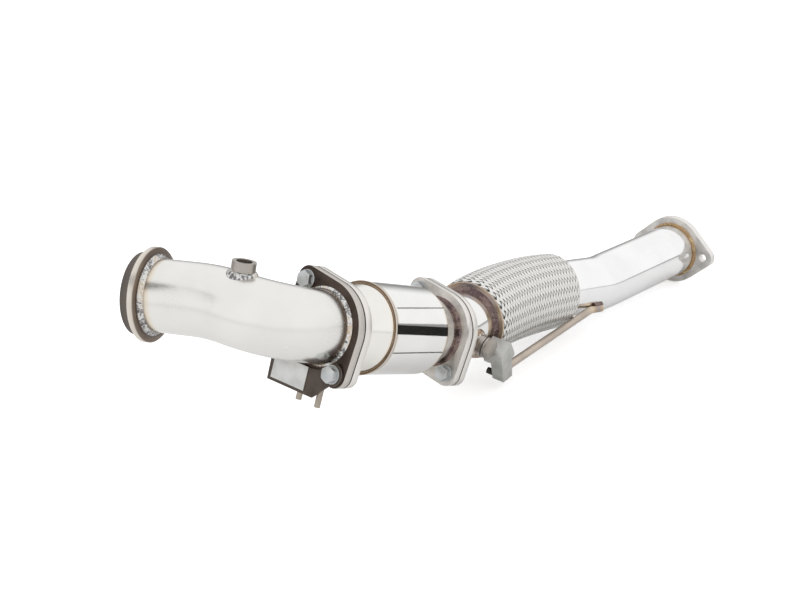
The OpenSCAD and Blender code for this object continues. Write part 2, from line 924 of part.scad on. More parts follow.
module at_block() {
    at_rod_end() rotate(block_turn) translate([-rod_entry[0], -rod_entry[1], rod_entry[2]])
        children();
}

// Side of the block, as points [back, down]
module block_side() {
    heel = 4;
    nose = 11;
    polygon([
        [0, 0], [block_depth, 0], [block_depth + block_bulge, (block_bulge - 2 * block_back_drop) / 2],
        [block_depth - heel / 2, -block_back_drop], [block_depth - heel, -block_h], [0, nose - block_h]
    ]);
}

module hanger_block() {
    color([0.62, 0.62, 0.61]) difference() {
        at_block() rotate([90, 0, -90]) linear_extrude(block_w) mirror([1, 0]) block_side();
        at_block() translate([-block_w - cut, -cut, -block_h - cut]) cube([
            block_w - block_leg_w + cut, block_depth + block_bulge + 2 * cut, block_h - block_head_h + cut
        ]);
        at_rod_end() round_x(-block_depth, block_depth + rod_in_block, rod_d / 2 + slip_gap);
    }
}

module hanger_stud() {
    color([0.2, 0.19, 0.18]) at_block()
        translate([-block_leg_w, block_stud_back, -block_stud_down]) rotate([0, -90, 0])
        cylinder(r = block_stud_d / 2, h = block_stud_l);
}

// Support bracket

// The bracket lies flat on the front flange, with an ear round the lower bolt
module support_bracket() {
    ear = [cos(bolt_clock + 180), sin(bolt_clock + 180)] * bolt_span / 2;
    far = ear[0] + bracket_l;
    tuck = 2;
    color([0.33, 0.3, 0.28]) at_front_joint() translate([-bracket_t, 0, 0]) along_x()
        difference() {
            union() {
                linear_extrude(bracket_t) polygon([
                    [far, -bracket_top], [far - tuck / 2, -bracket_drop],
                    [far - bracket_foot_l, -bracket_drop],
                    [far - bracket_foot_l - bracket_slope, -bracket_drop + bracket_slope],
                    ear + [-tuck, tuck - bracket_ear_r], ear + [-2 * tuck, 4 * tuck], [0, -bracket_top]
                ]);
                translate(ear) cylinder(r = bracket_ear_r, h = bracket_t);
            }
            translate([0, 0, -cut]) cylinder(r = bracket_cut_r, h = bracket_t + 2 * cut);
            translate([ear[0], ear[1], -cut]) cylinder(r = hole_r, h = bracket_t + 2 * cut);
        }
}

module blank_plate() {
    color([0.78, 0.78, 0.77]) at_front_joint()
        translate([-bracket_t - plate_t, 0, -bracket_drop + plate_margin]) cube([plate_t, plate_l, plate_h]);
}

module bracket_stud(across) {
    length = stud_drop - flange_body_d / 2 - stud_gap;
    color([0.72, 0.6, 0.5]) at_front_joint() translate([stud_d / 2, across, -stud_drop])
        cylinder(r = stud_d / 2, h = length);
}

// Fasteners

module bolt(side, under) {
    length = under + joint_l + washer_t + nut_h + bolt_end;
    color([0.8, 0.82, 0.84]) at_bolt(side) {
        translate([-under - bolt_seat, 0, 0]) along_x() cylinder(d = bolt_af / cos(30), h = head_h, $fn = 6);
        round_x(-under - bolt_seat + head_h / 2, length - head_h / 2 + bolt_seat - washer_t, bolt_r);
    }
}

module nut(side) {
    color([0.78, 0.78, 0.76]) at_bolt(side) translate([joint_l, 0, 0]) along_x()
        linear_extrude(nut_h) difference() {
            circle(d = bolt_af / cos(30), $fn = 6);
            disc(bolt_r + slip_gap / 2);
        }
}

module washer(side, under) {
    color([0.75, 0.76, 0.77]) at_bolt(side)
        pipe_x(-under - washer_t, washer_t, washer_d / 2, bolt_r + slip_gap);
}

inlet_flange();
inlet_weld();
dump_pipe();
front_bung();
front_bung_weld();
dump_flange_weld();
dump_flange();
front_gasket();
cat_inlet_flange();
cat_inlet_weld();
cat_inlet_cone();
cat_front_seam();
cat_shell();
catalyst_mat();
catalyst_core();
cat_rear_seam();
cat_outlet_cone();
cat_outlet_weld();
cat_outlet_flange();
rear_gasket();
stub_flange();
stub_weld();
stub_pipe();
rear_bung();
rear_bung_weld();
plug_washer();
bung_plug();
flex_front_weld();
flex_front_collar();
flex_bellows();
flex_liner();
flex_braid();
flex_rear_collar();
flex_rear_weld();
tail_pipe();
outlet_weld();
outlet_flange();
hanger_rod();
hanger_weld();
hanger_block();
hanger_stud();
support_bracket();
blank_plate();
bracket_stud(stud_across);  // bracket_stud_left
bracket_stud(stud_across - stud_span);  // bracket_stud_right
at_front_joint() bolt(1, 0);  // front_bolt_upper
at_front_joint() bolt(-1, bracket_t);  // front_bolt_lower
at_rear_joint() bolt(1, 0);  // rear_bolt_upper
at_rear_joint() bolt(-1, 0);  // rear_bolt_lower
at_front_joint() nut(1);  // front_nut_upper
at_front_joint() nut(-1);  // front_nut_lower
at_rear_joint() nut(1);  // rear_nut_upper
at_rear_joint() nut(-1);  // rear_nut_lower
at_front_joint() washer(1, 0);  // front_washer_upper
at_front_joint() washer(-1, bracket_t);  // front_washer_lower
at_rear_joint() washer(1, 0);  // rear_washer_upper
at_rear_joint() washer(-1, 0);  // rear_washer_lower
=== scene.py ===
# %% [markdown]
# # A turbo downpipe, dressed in Blender
# A downpipe carries the exhaust gas from the turbocharger to the rest of the exhaust. The CAD model holds
# its solids, and this lesson adds what CAD leaves out: rippled welds, a woven braid, chamfered bolts,
# soft edges and steel that shows its polish and its heat tint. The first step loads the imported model.

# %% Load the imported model
import math

import bmesh
import bpy
from mathutils import Matrix, Vector, noise


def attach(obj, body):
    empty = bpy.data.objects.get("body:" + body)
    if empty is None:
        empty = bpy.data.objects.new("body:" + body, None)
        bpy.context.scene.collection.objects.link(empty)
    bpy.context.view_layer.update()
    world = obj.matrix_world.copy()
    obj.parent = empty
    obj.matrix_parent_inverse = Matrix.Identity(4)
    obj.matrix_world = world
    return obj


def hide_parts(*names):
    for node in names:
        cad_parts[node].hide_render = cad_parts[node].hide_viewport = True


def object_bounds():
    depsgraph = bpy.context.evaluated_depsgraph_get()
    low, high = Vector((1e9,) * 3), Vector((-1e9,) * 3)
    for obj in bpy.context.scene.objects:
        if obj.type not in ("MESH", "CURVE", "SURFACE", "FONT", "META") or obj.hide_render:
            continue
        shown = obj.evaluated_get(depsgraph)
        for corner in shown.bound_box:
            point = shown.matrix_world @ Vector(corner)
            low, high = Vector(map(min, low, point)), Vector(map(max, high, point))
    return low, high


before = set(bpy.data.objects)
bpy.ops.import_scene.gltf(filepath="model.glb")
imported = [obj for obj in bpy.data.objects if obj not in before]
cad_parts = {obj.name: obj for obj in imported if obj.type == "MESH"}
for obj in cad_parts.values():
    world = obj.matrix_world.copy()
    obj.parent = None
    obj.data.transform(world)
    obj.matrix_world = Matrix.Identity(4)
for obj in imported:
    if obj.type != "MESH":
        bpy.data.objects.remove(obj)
cad_box = [list(corner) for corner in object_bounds()]
print("CAD nodes:", len(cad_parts))

# %% [markdown]
# ## The camera
# The photograph looks down on the pipe from the front right. The camera is a 50 mm lens on a 36 mm wide
# sensor. Its place is given in millimetres, and its turn as three angles: heading, pitch and a slight roll.

# %% Place the camera
MM = Matrix.Scale(0.001, 4)
CAMERA_PLACE = Vector((556.0, -944.5, 430.1))
CAMERA_HEADING, CAMERA_PITCH, CAMERA_ROLL = 16.34, -22.21, -0.24

lens = bpy.data.cameras.new("camera")
lens.sensor_width = 36.0
lens.lens = 50.0
camera = bpy.data.objects.new("camera", lens)
camera.rotation_mode = "QUATERNION"
camera.location = CAMERA_PLACE * 0.001
camera.rotation_quaternion = (
    Matrix.Rotation(math.radians(CAMERA_HEADING), 4, "Z")
    @ Matrix.Rotation(math.radians(90 + CAMERA_PITCH), 4, "X")
    @ Matrix.Rotation(math.radians(CAMERA_ROLL), 4, "Z")
).to_quaternion()
bpy.context.scene.collection.objects.link(camera)
bpy.context.scene.camera = camera
print("camera at", [round(v, 3) for v in camera.location])

# %% [markdown]
# ## Stations along the run of pipe
# A tube bender works with a list of straights, turns and bends. The same list gives a matrix at each
# place where something sits: its first axis runs along the gas flow, and the other two lie across it.
# A bend is given as its radius and its angle, and a roll turns the bender's plane before it. All of it is
# in millimetres, and a last scale takes a finished piece to metres.

# %% Follow the bends
TUBE_R = 38.1


def ahead(length, y=0.0, z=0.0):
    """A straight run along the first axis."""
    return Matrix.Translation((length, y, z))


def turned(angle):
    """A turn about the pipe's own axis."""
    return Matrix.Rotation(math.radians(angle), 4, "X")


def bent(radius, angle):
    """The end of a bend that curves towards the second axis."""
    a = math.radians(angle)
    end = (radius * math.sin(a), radius * (1 - math.cos(a)), 0)
    return Matrix.Translation(end) @ Matrix.Rotation(a, 4, "Z")


INLET_L = 19.2
INLET_RUN = 43.5
SWEEP_ROLL, SWEEP = -164, (150, 16.5)
BETWEEN_BENDS = 4.5
ELBOW_ROLL, ELBOW = 144.5, (64, 81.5)
ELBOW_RUN = 7
JOINT_L = 21.5
CAT_R = 50.4
NECK_L, INLET_CONE_L, CAT_L, OUTLET_CONE_L = 4.5, 38, 93, 36
BODY_START = JOINT_L + NECK_L + INLET_CONE_L
BODY_END = BODY_START + CAT_L
REAR_FACE = BODY_END + OUTLET_CONE_L + NECK_L
STUB_RUN, STUB_ROLL, STUB_BEND, STUB_END_RUN = 6, 66, (60, 20), 34
FLEX_ROLL, FLEX_ANGLE, FLEX_L = 129.5, 20.0, 182.4
FLEX_R = FLEX_L / math.radians(FLEX_ANGLE)
TAIL_RUN, TAIL_ROLL, TAIL_BEND, TAIL_END_RUN = 76, -142, (152, 10.5), 177
FRONT_BUNG_BEND, FRONT_BUNG_CLOCK = 2, 98
REAR_BUNG_BACK, REAR_BUNG_CLOCK = 43, 122

inlet = Matrix.Identity(4)
sweep_end = inlet @ ahead(INLET_L + INLET_RUN) @ turned(SWEEP_ROLL) @ bent(*SWEEP)
elbow = sweep_end @ ahead(BETWEEN_BENDS) @ turned(ELBOW_ROLL)
front_joint = elbow @ bent(*ELBOW) @ ahead(ELBOW_RUN)
rear_joint = front_joint @ ahead(REAR_FACE)
stub_bend = rear_joint @ ahead(JOINT_L + STUB_RUN) @ turned(STUB_ROLL)
flex = stub_bend @ bent(*STUB_BEND) @ ahead(STUB_END_RUN) @ turned(FLEX_ROLL)
flex_end = flex @ bent(FLEX_R, FLEX_ANGLE)
tail_bend = flex_end @ ahead(TAIL_RUN) @ turned(TAIL_ROLL)
outlet = tail_bend @ bent(*TAIL_BEND) @ ahead(TAIL_END_RUN)
front_bung = elbow @ bent(ELBOW[0], FRONT_BUNG_BEND) @ turned(FRONT_BUNG_CLOCK) @ turned(-90)
rear_bung = flex @ turned(-FLEX_ROLL) @ ahead(-REAR_BUNG_BACK) @ turned(REAR_BUNG_CLOCK) @ turned(-90)
print("outlet at", [round(v, 1) for v in outlet.to_translation()])

# %% [markdown]
# ## A small language for finishes
# Polish, ripples and heat tint are sums and products over the surface. `Field` wraps a socket, so that
# Python's own operators write the Math nodes, and `Finish.node` makes any other node from its type.

# %% Wrap sockets in arithmetic
class Field:
    """A number that varies over the surface."""

    def __init__(self, finish, socket):
        self.finish, self.socket = finish, socket

    def math(self, operation, *values):
        return self.finish.node("ShaderNodeMath", {"operation": operation}, dict(enumerate((self, *values))))

    def __add__(self, other):
        return self.math("ADD", other)

    def __sub__(self, other):
        return self.math("SUBTRACT", other)

    def __rsub__(self, other):
        return self.math("MULTIPLY_ADD", -1.0, other)

    def __mul__(self, other):
        return self.math("MULTIPLY", other)

    def __truediv__(self, other):
        return self.math("DIVIDE", other)

    __radd__, __rmul__ = __add__, __mul__

    def rise(self, low, high):
        """0 below low, 1 above high, and smooth between them."""
        settings = {"interpolation_type": "SMOOTHSTEP"}
        values = {"Value": self, "From Min": low, "From Max": high}
        return self.finish.node("ShaderNodeMapRange", settings, values)


class Finish:
    """A metal finish: a Principled shader and the nodes that feed it."""

    def __init__(self, name, colour, metallic=1.0, roughness=0.2):
        self.material = bpy.data.materials.new(name)
        self.material.use_nodes = True
        self.tree = self.material.node_tree
        self.shader = self.tree.nodes["Principled BSDF"]
        self.shader.inputs["Base Color"].default_value = (*colour, 1.0)
        self.shader.inputs["Metallic"].default_value = metallic
        self.shader.inputs["Roughness"].default_value = roughness
        self.surface = self.node("ShaderNodeTexCoord", {}, {}, "Object")

    def node(self, kind, settings, values, out=0):
        """Any node from its type, its settings and the values or links of its sockets."""
        made = self.tree.nodes.new(kind)
        for key, value in settings.items():
            if key == "stops":
                ramp = made.color_ramp.elements
                while len(ramp) < len(value):
                    ramp.new(1.0)
                for stop, (place, colour) in zip(ramp, value):
                    stop.position, stop.color = place, (*colour, 1.0)
            else:
                setattr(made, key, value)
        for key, value in values.items():
            if isinstance(value, Field):
                self.tree.links.new(value.socket, made.inputs[key])
            else:
                made.inputs[key].default_value = value
        return Field(self, made.outputs[out])

    def feed(self, name, field):
        """Links a field to one of the shader's sockets."""
        self.tree.links.new(field.socket, self.shader.inputs[name])

    def local(self, station):
        """The surface seen from a station, in millimetres: along the pipe, and twice across it."""
        place = {"Location": station.to_translation() * 0.001, "Rotation": station.to_euler()}
        values = {"Vector": self.surface, **place, "Scale": (0.001,) * 3}
        mapped = self.node("ShaderNodeMapping", {"vector_type": "TEXTURE"}, values)
        return [self.node("ShaderNodeSeparateXYZ", {}, {0: mapped}, axis) for axis in "XYZ"]

    def grain(self, scale, detail=3.0, stretch=(1, 1, 1)):
        """Noise with a scale in metres, from 0 to 1."""
        mapped = self.node("ShaderNodeMapping", {}, {"Vector": self.surface, "Scale": stretch})
        return self.node("ShaderNodeTexNoise", {}, {"Vector": mapped, "Scale": scale, "Detail": detail})

    def ramp(self, share, stops):
        """A colour picked along stops, given as (place, colour)."""
        return self.node("ShaderNodeValToRGB", {"stops": stops}, {"Fac": share})

    def mix(self, share, low, high):
        """A colour between two others."""
        made = self.node("ShaderNodeMix", {"data_type": "RGBA"}, {"Factor": share}, 2)
        for socket, colour in zip(made.socket.node.inputs[6:8], (low, high)):
            if isinstance(colour, Field):
                self.tree.links.new(colour.socket, socket)
            else:
                socket.default_value = (*colour, 1.0)
        return made

    def bump(self, height, depth_mm, strength):
        """Small relief from a height field, without moving the mesh."""
        values = {"Height": height, "Distance": depth_mm * 0.001, "Strength": strength}
        self.feed("Normal", self.node("ShaderNodeBump", {}, values))


def srgb(r, g, b):
    """A colour as a screen shows it, made linear."""
    return tuple((v / 255 / 12.92) if v < 11 else ((v / 255 + 0.055) / 1.055) ** 2.4 for v in (r, g, b))


print("finishes can be written as sums and products")

# %% [markdown]
# ## Steel
# Stainless steel is nearly white when it is polished. Close to each weld the heat leaves a tint: straw
# where it was warm, then brown, and blue beside the bead. The tint is a ramp over the distance to the
# weld's plane, with a little noise so that its edge wanders. The polish shows only in the roughness.

# %% Make the pipe steels
STRAW, BROWN, BLUE = srgb(232, 214, 184), srgb(176, 146, 116), srgb(132, 136, 158)
TINT_SHARE, TINT_FADE = 0.55, 0.55


def steel(name, colour, roughness, welds=(), reach=9.0, cloud=0.05):
    """Polished or satin steel with heat tint beside welds, given as (station, offset along it)."""
    made = Finish(name, colour, 1.0, roughness)
    haze = made.grain(26, 4)
    fine = made.grain(420, 2)
    base = made.mix(haze.rise(0.3, 0.75), colour, tuple(v * (1 - cloud) for v in colour))
    for station, offset in welds:
        along = made.local(station)[0]
        distance = (along - offset).math("ABSOLUTE") + haze * 5 - 2.5
        tint = made.ramp(distance / reach, [(0.0, BLUE), (0.18, BROWN), (0.45, STRAW), (1.0, colour)])
        near = 1 - distance.rise(reach * TINT_FADE, reach)
        base = made.mix(near * TINT_SHARE, base, tint)
    made.feed("Base Color", base)
    made.feed("Roughness", roughness + haze * 0.08 + fine * 0.05 - 0.05)
    made.bump(fine, 0.02, 0.4)
    return made.material


WHITE_STEEL = (0.84, 0.83, 0.8)
MIRROR_STEEL = (0.9, 0.895, 0.88)
dump_welds = [(inlet, INLET_L + 1), (front_joint, -1)]
inlet_cone_welds = [(front_joint, JOINT_L), (front_joint, BODY_START)]
body_welds = [(front_joint, BODY_START), (front_joint, BODY_END)]
outlet_cone_welds = [(front_joint, BODY_END), (rear_joint, 0)]
dump_steel = steel("dump_steel", WHITE_STEEL, 0.24, dump_welds, 13)
inlet_cone_steel = steel("inlet_cone_steel", (0.88, 0.86, 0.82), 0.12, inlet_cone_welds, 7)
body_steel = steel("body_steel", MIRROR_STEEL, 0.05, body_welds, 4)
outlet_cone_steel = steel("outlet_cone_steel", MIRROR_STEEL, 0.07, outlet_cone_welds, 12)
stub_steel = steel("stub_steel", MIRROR_STEEL, 0.08, [(rear_joint, JOINT_L), (flex, -2)], 11)
tail_steel = steel("tail_steel", (0.95, 0.945, 0.945), 0.07, [(flex_end, 2), (outlet, -2)], 12)
collar_steel = steel("collar_steel", srgb(206, 188, 172), 0.3, [(flex, -2), (flex_end, 2)], 5)
bung_steel = steel("bung_steel", srgb(184, 178, 171), 0.32)
print("pipe steels ready")

# %% [markdown]
# ## Flanges, bracket and small metal
# The flanges are cut from plate. The first one and the bracket are dark mild steel, rough and brown, with a
# ground rim that stays bright. The rim is told from the faces by the surface normal along the pipe, which
# is the same from every camera. Bolts are zinc plated: pale, a little cloudy and slightly blue.

# %% Make the plate steels
def plate_steel(name, face, rim, station, roughness=0.4):
    """Plate whose faces and cut rim differ in colour."""
    made = Finish(name, rim, 1.0, roughness)
    axis = station.to_3x3() @ Vector((1, 0, 0))
    normal = made.node("ShaderNodeNewGeometry", {}, {}, "Normal")
    facing = made.node("ShaderNodeVectorMath", {"operation": "DOT_PRODUCT"}, {0: normal, 1: axis}, "Value")
    on_face = facing.math("ABSOLUTE").rise(0.75, 0.97)
    blotch = made.grain(60, 5)
    fine = made.grain(700, 3)
    coat = made.mix(blotch.rise(0.25, 0.8), face, tuple(v * 0.62 for v in face))
    made.feed("Base Color", made.mix(on_face, rim, coat))
    made.feed("Roughness", roughness + on_face * 0.12 + fine * 0.12)
    made.bump(fine + blotch * 0.6, 0.06, 0.5)
    return made.material


dark_flange = plate_steel("dark_flange", srgb(92, 80, 74), srgb(206, 200, 194), front_joint, 0.38)
bright_flange = plate_steel("bright_flange", srgb(222, 217, 211), srgb(234, 230, 225), front_joint, 0.28)
outlet_plate = plate_steel("outlet_plate", srgb(224, 221, 217), srgb(234, 231, 227), outlet, 0.28)
bracket_steel = plate_steel("bracket_steel", srgb(104, 94, 88), srgb(120, 110, 104), front_joint, 0.42)


def cloudy(name, colour, low, high, metallic=1.0, grain=300, depth=0.05):
    """A plain metal whose colour and gloss are clouded by noise."""
    made = Finish(name, colour, metallic, (low + high) / 2)
    cloud = made.grain(70, 5)
    fine = made.grain(grain, 3)
    made.feed("Base Color", made.mix(cloud.rise(0.3, 0.75), colour, tuple(v * 0.8 for v in colour)))
    made.feed("Roughness", low + cloud * (high - low))
    made.bump(fine, depth, 0.5)
    return made.material


zinc = cloudy("zinc", srgb(202, 205, 205), 0.26, 0.46)
blasted = cloudy("blasted", srgb(204, 204, 200), 0.5, 0.62, 1.0, 1500, 0.05)
blank_metal = cloudy("blank_metal", srgb(214, 214, 212), 0.3, 0.45)
copper_stud = cloudy("copper_stud", srgb(176, 166, 154), 0.35, 0.5)
black_oxide = cloudy("black_oxide", srgb(70, 66, 62), 0.4, 0.55)
gasket_sheet = cloudy("gasket_sheet", srgb(52, 50, 48), 0.7, 0.8, 0.0)
core_ceramic = cloudy("core_ceramic", srgb(176, 160, 138), 0.8, 0.9, 0.0)
mat_fibre = cloudy("mat_fibre", srgb(220, 214, 200), 0.9, 0.95, 0.0, 900, 0.2)
bellows_steel = cloudy("bellows_steel", srgb(214, 210, 204), 0.16, 0.3)
rod_steel = steel("rod_steel", srgb(200, 187, 174), 0.28, [(flex_end, 52)], 26, 0.25)
print("plate steels and small metals ready")

# %% [markdown]
# ## The inlet flange
# The turned inlet flange has three looks in one piece: a dark rough lip in front, a light tan clamping
# edge, and a machined back whose last dark band before the weld is painted shade of the ring's back
# face. All three follow the distance from the front face, so one ramp over that distance paints them. The
# ramp's stops are shares of the flange's length.

# %% Make the inlet flange's finish
LIP_L = 10
made = Finish("inlet_steel", srgb(196, 184, 168), 1.0, 0.3)
from_face = made.local(inlet)[0]
lathe = (from_face * 9).math("SINE")
# The stops from 0.93 on are painted shade: the dark band where the ring's back face lies in shadow before the
# weld.
bands = [
    (0.0, srgb(104, 98, 94)), (0.5, srgb(122, 114, 108)), (0.58, srgb(208, 200, 188)),
    (0.64, srgb(226, 220, 210)), (0.88, srgb(216, 208, 198)), (0.93, srgb(136, 122, 110)),
    (1.0, srgb(112, 100, 92)),
]
made.feed("Base Color", made.ramp((from_face + made.grain(90, 4) * 0.8 - 0.4) / INLET_L, bands))
made.feed("Roughness", 0.52 - from_face.rise(LIP_L, LIP_L + 2) * 0.24 + made.grain(300, 2) * 0.1)
scratch = made.grain(260, 4, (0.3, 1, 1)) * (1 - from_face.rise(LIP_L - 1, LIP_L + 1))
made.bump(lathe * 0.3 + made.grain(600, 3) + scratch * 2, 0.06, 0.6)
inlet_steel = made.material
print("inlet finish ready")

# %% [markdown]
# ## Weld metal
# A hand-laid bead cools in ripples, like a row of coins laid over each other. The ripples themselves are
# modelled. The finish adds the colours: silver and grey where the bead stayed bright, and small tan, brown
# and blue patches where it ran hot. A noise that is slow along the bead picks between them. The
# converter's front seam is a plain narrow band, so its colours follow the distance across it.

# %% Make the weld finishes
def weld_metal(name, stops, roughness=0.26):
    """Bead colours picked by a slow noise."""
    made = Finish(name, (0.6, 0.6, 0.6), 1.0, roughness)
    slow = made.grain(34, 3)
    fast = made.grain(260, 2)
    made.feed("Base Color", made.ramp(slow * 0.8 + fast * 0.35 - 0.08, stops))
    made.feed("Roughness", roughness + fast * 0.16 - 0.05)
    made.bump(fast + made.grain(900, 2) * 0.5, 0.08, 0.6)
    return made.material


SILVER, GREY, TAN = srgb(226, 226, 224), srgb(92, 88, 88), srgb(200, 182, 160)
BLUE_GREY, DARK_BROWN = srgb(140, 158, 176), srgb(96, 80, 82)
bright_weld = weld_metal("bright_weld", [
    (0.22, SILVER), (0.34, GREY), (0.4, SILVER), (0.46, GREY), (0.52, SILVER), (0.6, TAN), (0.66, SILVER),
    (0.74, BLUE_GREY),
])
gold_weld = weld_metal("gold_weld", [
    (0.25, SILVER), (0.42, TAN), (0.5, srgb(146, 122, 100)), (0.58, SILVER), (0.72, srgb(206, 190, 168)),
])
purple_weld = weld_metal("purple_weld", [
    (0.25, srgb(124, 106, 104)), (0.42, DARK_BROWN), (0.55, srgb(140, 122, 116)), (0.64, DARK_BROWN),
    (0.76, srgb(206, 196, 190)),
])

SEAM_W = 3.0
made = Finish("seam_metal", srgb(216, 206, 194), 1.0, 0.24)
across_seam = (made.local(front_joint)[0] - BODY_START + SEAM_W) / SEAM_W
made.feed("Base Color", made.ramp(across_seam, [
    (0.0, srgb(120, 98, 80)), (0.25, srgb(222, 214, 204)), (0.7, srgb(206, 192, 176)), (1.0, srgb(104, 84, 68)),
]))
seam_metal = made.material
outlet_bead = weld_metal("outlet_bead", [
    (0.3, srgb(190, 160, 116)), (0.5, srgb(158, 130, 98)), (0.7, srgb(210, 190, 150)),
], 0.24)
print("weld finishes ready")

# %% [markdown]
# ## From bmesh to a piece
# Each new piece is shaped at the origin in millimetres, along the first axis. Then it is moved to its
# station and made into an object at the origin.

# %% Finish a piece
AT_ROW = Matrix.Identity(4)


def piece(name, shape, station, material, slot, *stands_for, sharp=38):
    """An object from a bmesh in millimetres, laid at its station."""
    bmesh.ops.transform(shape, matrix=MM @ station, verts=shape.verts)
    bmesh.ops.recalc_face_normals(shape, faces=shape.faces)
    mesh = bpy.data.meshes.new(name)
    shape.to_mesh(mesh)
    shape.free()
    mesh.shade_smooth()
    mesh.set_sharp_from_angle(angle=math.radians(sharp))
    mesh.materials.append(material)
    made = bpy.data.objects.new(name, mesh)
    bpy.context.scene.collection.objects.link(made)
    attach(made, "root")
    if stands_for:
        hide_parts(*stands_for)
    print(f"{name}: {len(mesh.polygons)} faces")
    return made


def profile_ring(shape, profile, steps, closed=True):
    """Spins points (along, radius) round the first axis."""
    points = [shape.verts.new((x, r, 0)) for x, r in profile]
    pairs = list(zip(points, points[1:] + points[:1])) if closed else list(zip(points, points[1:]))
    edges = [shape.edges.new(pair) for pair in pairs]
    bmesh.ops.spin(
        shape, geom=points + edges, cent=(0, 0, 0), axis=(1, 0, 0), angle=math.tau, steps=steps,
        use_merge=True, use_duplicate=False,
    )
    bmesh.ops.remove_doubles(shape, verts=shape.verts, dist=1e-4)


# %% [markdown]
# ## Smooth pipes
# Polished steel shows every facet of a coarse mesh. The three bent pipes are drawn again with the bender's
# own steps: two circles are pushed along each straight and spun round each bend's centre, and the ends are
# bridged. A bung's hole is drilled afterwards.

# %% Bend the pipes
BORE_R = 36.5
TUBE_INSERT = 6.0
BUNG_BORE_R = 8.2
BEND_STEP = 1.5


def new_parts(found, kind):
    """The parts of one kind in what an operator gives back."""
    return [part for part in found if isinstance(part, kind)]


def bent_tube(station, *steps):
    """A tube made of straights (length, 0), turns (0, angle) and bends (radius, angle)."""
    shape = bmesh.new()
    facing = station @ Matrix.Rotation(math.radians(90), 4, "Y")
    for radius in (TUBE_R, BORE_R):
        bmesh.ops.create_circle(shape, segments=96, radius=radius, matrix=facing)
    end = first = shape.edges[:]
    for size, angle in steps:
        if not angle:
            pushed = bmesh.ops.extrude_edge_only(shape, edges=end)["geom"]
            moved = set(new_parts(pushed, bmesh.types.BMVert))
            bmesh.ops.translate(shape, verts=list(moved), vec=station.to_3x3() @ Vector((size, 0, 0)))
            end = [edge for edge in new_parts(pushed, bmesh.types.BMEdge) if moved.issuperset(edge.verts)]
            station = station @ ahead(size)
        elif not size:
            station = station @ turned(angle)
        else:
            centre, axis = station @ Vector((0, size, 0)), station.to_3x3() @ Vector((0, 0, 1))
            spun = bmesh.ops.spin(
                shape, geom=end, cent=centre, axis=axis, angle=math.radians(angle),
                steps=math.ceil(angle / BEND_STEP), use_duplicate=False,
            )
            end = new_parts(spun["geom_last"], bmesh.types.BMEdge)
            station = station @ bent(size, angle)
    bmesh.ops.bridge_loops(shape, edges=first)
    bmesh.ops.bridge_loops(shape, edges=end)
    return shape


def drill(pipe, station, radius):
    """A round hole along the station's third axis, from the pipe's middle outwards."""
    shape = bmesh.new()
    bmesh.ops.create_cone(
        shape, cap_ends=True, segments=64, radius1=radius, radius2=radius, depth=TUBE_R,
        matrix=MM @ station @ ahead(0, 0, TUBE_R),
    )
    mesh = bpy.data.meshes.new("drill")
    shape.to_mesh(mesh)
    shape.free()
    bit = bpy.data.objects.new("drill", mesh)
    bpy.context.scene.collection.objects.link(bit)
    cut = pipe.modifiers.new("hole", "BOOLEAN")
    cut.operation, cut.solver, cut.object = "DIFFERENCE", "EXACT", bit
    seen = pipe.evaluated_get(bpy.context.evaluated_depsgraph_get())
    pipe.data = bpy.data.meshes.new_from_object(seen)
    pipe.modifiers.clear()
    bpy.data.objects.remove(bit)
    print(f"{pipe.name}: {len(pipe.data.polygons)} faces once drilled")


dump_run = [
    (INLET_RUN, 0), (0, SWEEP_ROLL), SWEEP, (BETWEEN_BENDS, 0), (0, ELBOW_ROLL), ELBOW,
    (ELBOW_RUN + TUBE_INSERT, 0),
]
stub_run = [(TUBE_INSERT + STUB_RUN, 0), (0, STUB_ROLL), STUB_BEND, (STUB_END_RUN + TUBE_INSERT, 0)]
tail_run = [(TUBE_INSERT + TAIL_RUN, 0), (0, TAIL_ROLL), TAIL_BEND, (TAIL_END_RUN + TUBE_INSERT, 0)]
dump_tube = bent_tube(inlet @ ahead(INLET_L), *dump_run)
stub_tube = bent_tube(rear_joint @ ahead(JOINT_L - TUBE_INSERT), *stub_run)
tail_tube = bent_tube(flex_end @ ahead(-TUBE_INSERT), *tail_run)
dump = piece("dump_pipe_bent", dump_tube, AT_ROW, dump_steel, "pipe_steel", "dump_pipe")
stub = piece("stub_pipe_bent", stub_tube, AT_ROW, stub_steel, "polished_steel", "stub_pipe")
piece("tail_pipe_bent", tail_tube, AT_ROW, tail_steel, "polished_steel", "tail_pipe")
drill(dump, front_bung, BUNG_BORE_R)
drill(stub, rear_bung, BUNG_BORE_R)

# %% [markdown]
# ## The ring welds
# Every joint between a tube and its flange has a fillet weld. Its section is a low arch in the corner
# between the two. The arch is spun into a ring, and then each point is pushed out by a scalloped wave round
# the ring, which leans over so that the ripples look laid on one after the other.

# %% Lay the ring welds
RIPPLES, RIPPLE_DEPTH = 62, 0.45
ARCH = [math.radians(v) for v in (24, 40, 56, 68)]
COLLAR_LIP = 1.6


def ripple(angle, across, seed):
    """How far the bead's skin stands out, from 0 to 1: coins that overlap, with an uneven hand."""
    wander = noise.noise(Vector((math.cos(angle) * 2, math.sin(angle) * 2, seed))) * 0.8
    phase = angle * RIPPLES / math.tau + wander - 0.9 * (across - 0.5) ** 2 * 4
    return 1 - abs((phase % 1) * 2 - 1) ** 2.2


